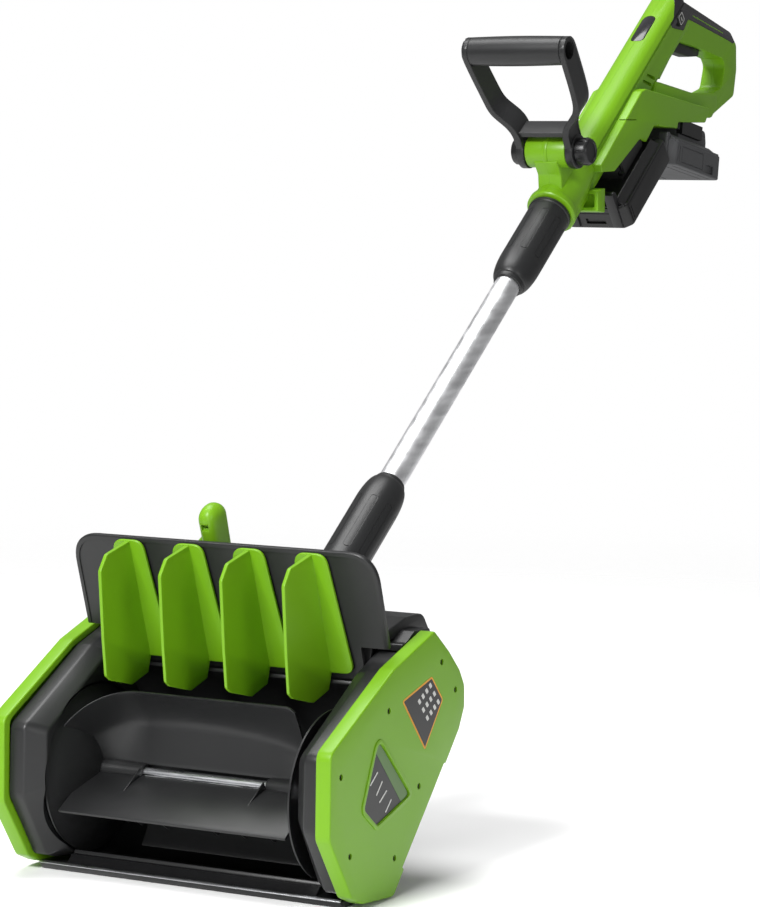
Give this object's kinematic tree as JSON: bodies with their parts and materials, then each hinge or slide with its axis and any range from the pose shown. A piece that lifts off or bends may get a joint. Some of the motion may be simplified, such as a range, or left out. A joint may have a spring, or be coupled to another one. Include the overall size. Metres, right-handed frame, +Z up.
{
  "type": "cordless snow shovel",
  "caption": "Battery snow shovel: a paddle rotor in a low scoop head with steerable deflector vanes, a straight pole, a front grip and a rear trigger handle.",
  "frame": {"origin": "on the ground under the scraper blade, in the middle of the head's width", "axes": "+Z up, -Y towards the snow (front), +X to the operator's right"},
  "size_m": [0.336, 1.1238, 0.7659],
  "materials": {
    "green_plastic": "semi-gloss moulded",
    "black_plastic": "fine grained",
    "dark_plastic": "smooth",
    "grey_plastic": "fine grained",
    "soft_rubber": "soft",
    "steel": "zinc plated",
    "aluminium_tube": "satin anodised",
    "circuit_board": "lacquered"
  },
  "bodies": {
    "frame": {"side_cover_left": "green_plastic", "side_cover_right": "green_plastic", "handle_half_left": "green_plastic", "handle_half_right": "green_plastic", "scroll_housing": "black_plastic", "side_wall_left": "black_plastic", "side_wall_right": "black_plastic", "deflector_panel": "black_plastic", "rear_housing": "black_plastic", "tube_socket": "black_plastic", "pivot_end_cap": "black_plastic", "grip_cover": "black_plastic", "status_window": "dark_plastic", "battery_port_1": "dark_plastic", "battery_port_2": "dark_plastic", "trigger_switch": "dark_plastic", "drive_belt": "soft_rubber", "scraper_blade": "steel", "motor_can": "steel", "rotor_bearing_left": "steel", "rotor_bearing_right": "steel", "pivot_bolt": "steel", "tube": "aluminium_tube", "control_board": "circuit_board"},
    "rotor": {"rotor_shaft": "steel", "rotor_paddles": "black_plastic", "rotor_pulley": "dark_plastic"},
    "motor_rotor": {"motor_pulley": "steel"},
    "steered_vane": {"vane_2": "green_plastic", "vane_crank_2": "black_plastic", "steering_lever": "green_plastic"},
    "vane_left": {"vane_1": "green_plastic", "vane_crank_1": "black_plastic"},
    "vane_inner_right": {"vane_3": "green_plastic", "vane_crank_3": "black_plastic"},
    "vane_right": {"vane_4": "green_plastic", "vane_crank_4": "black_plastic"},
    "link": {"vane_link_bar": "steel"},
    "front_grip": {"front_handle": "black_plastic", "front_grip_sleeve": "soft_rubber"},
    "knob": {"clamp_knob": "black_plastic"},
    "lower_nut": {"lower_collar": "black_plastic"},
    "upper_nut": {"upper_collar": "black_plastic"},
    "trigger": {"trigger": "black_plastic"},
    "lock_off": {"lock_off_button": "black_plastic"},
    "battery_1": {"battery_case_1": "dark_plastic", "battery_slide_block_1": "dark_plastic"},
    "battery_2": {"battery_case_2": "grey_plastic", "battery_slide_block_2": "grey_plastic"},
    "latch_1": {"battery_latch_1": "green_plastic"},
    "latch_2": {"battery_latch_2": "green_plastic"}
  },
  "joints": [
    {"name": "rotor_spin", "type": "hinge", "parent": "frame", "child": "rotor", "pos_m": [0, 0.043, 0.082], "axis": [1, 0, 0], "continuous": true},
    {"name": "motor_spin", "type": "hinge", "parent": "frame", "child": "motor_rotor", "pos_m": [0, 0.137, 0.137], "axis": [1, 0, 0], "continuous": true},
    {"name": "steer", "type": "hinge", "parent": "frame", "child": "steered_vane", "pos_m": [-0.03025, 0.06717, 0.21055], "axis": [0, -0.9573, -0.289], "range_deg": [-20, 20]},
    {"name": "vane_left_turn", "type": "hinge", "parent": "frame", "child": "vane_left", "pos_m": [-0.09075, 0.06717, 0.21055], "axis": [0, -0.9573, -0.289], "range_deg": [-20, 20]},
    {"name": "vane_inner_right_turn", "type": "hinge", "parent": "frame", "child": "vane_inner_right", "pos_m": [0.03025, 0.06717, 0.21055], "axis": [0, -0.9573, -0.289], "range_deg": [-20, 20]},
    {"name": "vane_right_turn", "type": "hinge", "parent": "frame", "child": "vane_right", "pos_m": [0.09075, 0.06717, 0.21055], "axis": [0, -0.9573, -0.289], "range_deg": [-20, 20]},
    {"name": "link_swing", "type": "hinge", "parent": "steered_vane", "child": "link", "pos_m": [-0.03025, 0.07239, 0.23719], "axis": [0, -0.9573, -0.289], "range_deg": [-20, 20]},
    {"name": "front_grip_tilt", "type": "hinge", "parent": "frame", "child": "front_grip", "pos_m": [0, 0.655, 0.607], "axis": [1, 0, 0], "range_deg": [-60, 45]},
    {"name": "knob_turn", "type": "hinge", "parent": "frame", "child": "knob", "pos_m": [0, 0.655, 0.607], "axis": [1, 0, 0], "range_deg": [-180, 180]},
    {"name": "lower_nut_twist", "type": "hinge", "parent": "frame", "child": "lower_nut", "pos_m": [0, 0.3721, 0.3351], "axis": [0, 0.8, 0.6], "range_deg": [0, 90]},
    {"name": "upper_nut_twist", "type": "hinge", "parent": "frame", "child": "upper_nut", "pos_m": [0, 0.3721, 0.3351], "axis": [0, 0.8, 0.6], "range_deg": [0, 90]},
    {"name": "trigger_pull", "type": "hinge", "parent": "frame", "child": "trigger", "pos_m": [0, 0.916, 0.724], "axis": [1, 0, 0], "range_deg": [0, 6], "stiffness_Nm_per_rad": 1, "springref_deg": -11.46},
    {"name": "lock_off_press", "type": "slide", "parent": "frame", "child": "lock_off", "axis": [-1, 0, 0], "range_m": [0, 0.003], "stiffness_N_per_m": 300, "springref_m": -0.002},
    {"name": "battery_1_slide", "type": "slide", "parent": "frame", "child": "battery_1", "axis": [0, 0.8, 0.6], "range_m": [0, 0.006]},
    {"name": "battery_2_slide", "type": "slide", "parent": "frame", "child": "battery_2", "axis": [0, 0.9863, -0.165], "range_m": [0, 0.075]},
    {"name": "latch_1_press", "type": "slide", "parent": "battery_1", "child": "latch_1", "axis": [0, 0.6, -0.8], "range_m": [0, 0.003], "stiffness_N_per_m": 300, "springref_m": -0.002},
    {"name": "latch_2_press", "type": "slide", "parent": "battery_2", "child": "latch_2", "axis": [0, -0.165, -0.9863], "range_m": [0, 0.003], "stiffness_N_per_m": 300, "springref_m": -0.002}
  ],
  "couplings": [
    {"joint": "motor_spin", "follows": "rotor_spin", "ratio": 3.7778},
    {"joint": "vane_left_turn", "follows": "steer", "ratio": 1},
    {"joint": "vane_inner_right_turn", "follows": "steer", "ratio": 1},
    {"joint": "vane_right_turn", "follows": "steer", "ratio": 1},
    {"joint": "link_swing", "follows": "steer", "ratio": -1}
  ]
}
